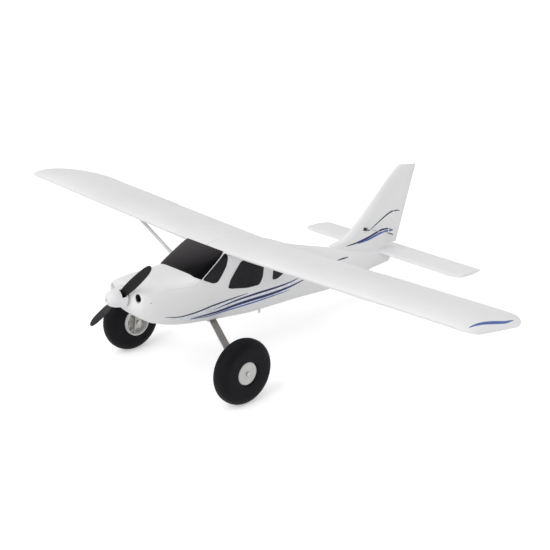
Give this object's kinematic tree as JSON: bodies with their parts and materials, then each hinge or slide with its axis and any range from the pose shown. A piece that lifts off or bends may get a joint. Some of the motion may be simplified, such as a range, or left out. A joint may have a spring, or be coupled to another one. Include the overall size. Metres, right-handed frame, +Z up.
{
  "type": "radio-control foam airplane",
  "caption": "High-wing foam model airplane with balloon tyres: hinged ailerons, flaps, elevator and rudder on servo linkages, a turning propeller and a lift-off hatch.",
  "frame": {"origin": "on the ground, under the middle of the model's box, standing on its three wheels", "axes": "+X towards the left wing tip, -Y forward along the nose, +Z up"},
  "size_m": [1.2254, 0.8189, 0.2792],
  "materials": {
    "foam": "satin moulded foam",
    "pane": "dark gloss film",
    "plywood": "bare plywood",
    "motor": "machined",
    "prop": "moulded black nylon",
    "spinner": "moulded white plastic",
    "steel": "zinc plated",
    "battery": "shrink wrap",
    "strap": "woven hook and loop",
    "electronics": "moulded black plastic",
    "carbon": "carbon tube",
    "nylon": "moulded white nylon",
    "strut": "grey moulded plastic",
    "fitting": "moulded black nylon",
    "gear": "bent strip",
    "hub": "light grey moulded plastic",
    "tyre": "soft foam rubber",
    "servo": "blue case"
  },
  "bodies": {
    "airframe": {"fuselage_left": "foam", "fuselage_right": "foam", "cowl": "foam", "side_windows": "pane", "firewall": "plywood", "motor_mount": "motor", "equipment_tray": "plywood", "battery": "battery", "battery_strap": "strap", "speed_controller": "electronics", "receiver": "electronics", "wing_left": "foam", "wing_right": "foam", "wing_spar": "carbon", "wing_bolts": "nylon", "strut_right": "strut", "belly_peg": "fitting", "stabilizer": "foam", "fin": "foam", "tail_bracket": "fitting", "main_gear": "gear", "screws": "steel", "axles": "steel", "servos": "servo"},
    "hatch": {"hatch": "foam", "windshield": "pane"},
    "rotor": {"motor_bell": "motor", "propeller": "prop", "spinner": "spinner", "prop_fixings": "steel"},
    "wheel_left": {"hub_left": "hub", "tyre_left": "tyre"},
    "wheel_right": {"hub_right": "hub", "tyre_right": "tyre"},
    "tail_fork": {"tail_fork": "steel"},
    "tail_wheel": {"tail_wheel": "tyre"},
    "rudder": {"rudder": "foam", "rudder_horn": "fitting"},
    "elevator": {"elevator": "foam", "elevator_horn": "fitting"},
    "rudder_arm": {"rudder_arm": "nylon"},
    "rudder_rod": {"rudder_rod": "steel"},
    "elevator_arm": {"elevator_arm": "nylon"},
    "elevator_rod": {"elevator_rod": "steel"},
    "aileron_left": {"aileron_left": "foam", "aileron_horn_left": "fitting"},
    "aileron_arm_left": {"aileron_arm_left": "nylon"},
    "aileron_rod_left": {"aileron_rod_left": "steel"},
    "aileron_right": {"aileron_right": "foam", "aileron_horn_right": "fitting"},
    "aileron_arm_right": {"aileron_arm_right": "nylon"},
    "aileron_rod_right": {"aileron_rod_right": "steel"},
    "flap_left": {"flap_left": "foam", "flap_horn_left": "fitting"},
    "flap_arm_left": {"flap_arm_left": "nylon"},
    "flap_rod_left": {"flap_rod_left": "steel"},
    "flap_right": {"flap_right": "foam", "flap_horn_right": "fitting"},
    "flap_arm_right": {"flap_arm_right": "nylon"},
    "flap_rod_right": {"flap_rod_right": "steel"}
  },
  "joints": [
    {"name": "hatch_lift", "type": "slide", "parent": "airframe", "child": "hatch", "axis": [0, 0, 1], "range_m": [0, 0.08]},
    {"name": "propeller_spin", "type": "hinge", "parent": "airframe", "child": "rotor", "pos_m": [0, -0.381, 0.19958], "axis": [0, -0.9934, 0.1149], "continuous": true},
    {"name": "tail_swivel", "type": "hinge", "parent": "airframe", "child": "tail_fork", "pos_m": [0, 0.24142, 0.05986], "axis": [0, -0.0593, 0.9982], "range_deg": [-60, 60]},
    {"name": "tail_wheel_spin", "type": "hinge", "parent": "tail_fork", "child": "tail_wheel", "pos_m": [0, 0.262, 0.017], "axis": [1, 0, 0], "continuous": true},
    {"name": "wheel_left_spin", "type": "hinge", "parent": "airframe", "child": "wheel_left", "pos_m": [0.166, -0.24816, 0.0615], "axis": [1, 0, 0], "continuous": true},
    {"name": "wheel_right_spin", "type": "hinge", "parent": "airframe", "child": "wheel_right", "pos_m": [-0.166, -0.24816, 0.0615], "axis": [1, 0, 0], "continuous": true},
    {"name": "aileron_left_hinge", "type": "hinge", "parent": "airframe", "child": "aileron_left", "pos_m": [0.39972, -0.05081, 0.22326], "axis": [0.9995, 0.0068, 0.0307], "range_deg": [-20, 20]},
    {"name": "aileron_arm_left_turn", "type": "hinge", "parent": "airframe", "child": "aileron_arm_left", "pos_m": [0.40967, -0.10899, 0.23801], "axis": [0.9995, 0.0068, 0.0307], "range_deg": [-20, 20]},
    {"name": "aileron_rod_left_turn", "type": "hinge", "parent": "aileron_arm_left", "child": "aileron_rod_left", "pos_m": [0.41018, -0.11248, 0.2224], "axis": [0.9995, 0.0068, 0.0307], "range_deg": [-20, 20]},
    {"name": "aileron_right_hinge", "type": "hinge", "parent": "airframe", "child": "aileron_right", "pos_m": [-0.39972, -0.05081, 0.22326], "axis": [0.9995, -0.0068, -0.0307], "range_deg": [-20, 20]},
    {"name": "aileron_arm_right_turn", "type": "hinge", "parent": "airframe", "child": "aileron_arm_right", "pos_m": [-0.40967, -0.10899, 0.23801], "axis": [0.9995, -0.0068, -0.0307], "range_deg": [-20, 20]},
    {"name": "aileron_rod_right_turn", "type": "hinge", "parent": "aileron_arm_right", "child": "aileron_rod_right", "pos_m": [-0.41018, -0.11248, 0.2224], "axis": [0.9995, -0.0068, -0.0307], "range_deg": [-20, 20]},
    {"name": "flap_left_hinge", "type": "hinge", "parent": "airframe", "child": "flap_left", "pos_m": [0.17983, -0.05232, 0.21651], "axis": [0.9995, 0.0068, 0.0307], "range_deg": [-35, 0]},
    {"name": "flap_arm_left_turn", "type": "hinge", "parent": "airframe", "child": "flap_arm_left", "pos_m": [0.18978, -0.1105, 0.23127], "axis": [0.9995, 0.0068, 0.0307], "range_deg": [-35, 0]},
    {"name": "flap_rod_left_turn", "type": "hinge", "parent": "flap_arm_left", "child": "flap_rod_left", "pos_m": [0.19028, -0.11399, 0.21566], "axis": [0.9995, 0.0068, 0.0307], "range_deg": [0, 35]},
    {"name": "flap_right_hinge", "type": "hinge", "parent": "airframe", "child": "flap_right", "pos_m": [-0.17983, -0.05232, 0.21651], "axis": [0.9995, -0.0068, -0.0307], "range_deg": [-35, 0]},
    {"name": "flap_arm_right_turn", "type": "hinge", "parent": "airframe", "child": "flap_arm_right", "pos_m": [-0.18978, -0.1105, 0.23127], "axis": [0.9995, -0.0068, -0.0307], "range_deg": [-35, 0]},
    {"name": "flap_rod_right_turn", "type": "hinge", "parent": "flap_arm_right", "child": "flap_rod_right", "pos_m": [-0.19028, -0.11399, 0.21566], "axis": [0.9995, -0.0068, -0.0307], "range_deg": [0, 35]},
    {"name": "elevator_hinge", "type": "hinge", "parent": "airframe", "child": "elevator", "pos_m": [0, 0.32664, 0.08777], "axis": [1, 0, 0], "range_deg": [-20, 20]},
    {"name": "elevator_arm_turn", "type": "hinge", "parent": "airframe", "child": "elevator_arm", "pos_m": [-0.023, 0.24029, 0.07815], "axis": [1, 0, 0], "range_deg": [-20, 20]},
    {"name": "elevator_rod_turn", "type": "hinge", "parent": "elevator_arm", "child": "elevator_rod", "pos_m": [-0.023, 0.23873, 0.06222], "axis": [1, 0, 0], "range_deg": [-20, 20]},
    {"name": "rudder_hinge", "type": "hinge", "parent": "airframe", "child": "rudder", "pos_m": [0, 0.30778, 0.10442], "axis": [0, 0.3713, 0.9285], "range_deg": [-25, 25]},
    {"name": "rudder_arm_turn", "type": "hinge", "parent": "airframe", "child": "rudder_arm", "pos_m": [0, 0.2426, 0.15418], "axis": [0, 0.3713, 0.9285], "range_deg": [-25, 25]},
    {"name": "rudder_rod_turn", "type": "hinge", "parent": "rudder_arm", "child": "rudder_rod", "pos_m": [0.016, 0.2426, 0.15418], "axis": [0, 0.3713, 0.9285], "range_deg": [-25, 25]}
  ],
  "couplings": [
    {"joint": "aileron_arm_left_turn", "follows": "aileron_left_hinge", "ratio": 1},
    {"joint": "aileron_rod_left_turn", "follows": "aileron_left_hinge", "ratio": -1},
    {"joint": "aileron_right_hinge", "follows": "aileron_left_hinge", "ratio": -1},
    {"joint": "aileron_arm_right_turn", "follows": "aileron_left_hinge", "ratio": -1},
    {"joint": "aileron_rod_right_turn", "follows": "aileron_left_hinge", "ratio": 1},
    {"joint": "flap_arm_left_turn", "follows": "flap_left_hinge", "ratio": 1},
    {"joint": "flap_rod_left_turn", "follows": "flap_left_hinge", "ratio": -1},
    {"joint": "flap_right_hinge", "follows": "flap_left_hinge", "ratio": 1},
    {"joint": "flap_arm_right_turn", "follows": "flap_left_hinge", "ratio": 1},
    {"joint": "flap_rod_right_turn", "follows": "flap_left_hinge", "ratio": -1},
    {"joint": "elevator_arm_turn", "follows": "elevator_hinge", "ratio": 1},
    {"joint": "elevator_rod_turn", "follows": "elevator_hinge", "ratio": -1},
    {"joint": "rudder_arm_turn", "follows": "rudder_hinge", "ratio": 1},
    {"joint": "rudder_rod_turn", "follows": "rudder_hinge", "ratio": -1}
  ]
}
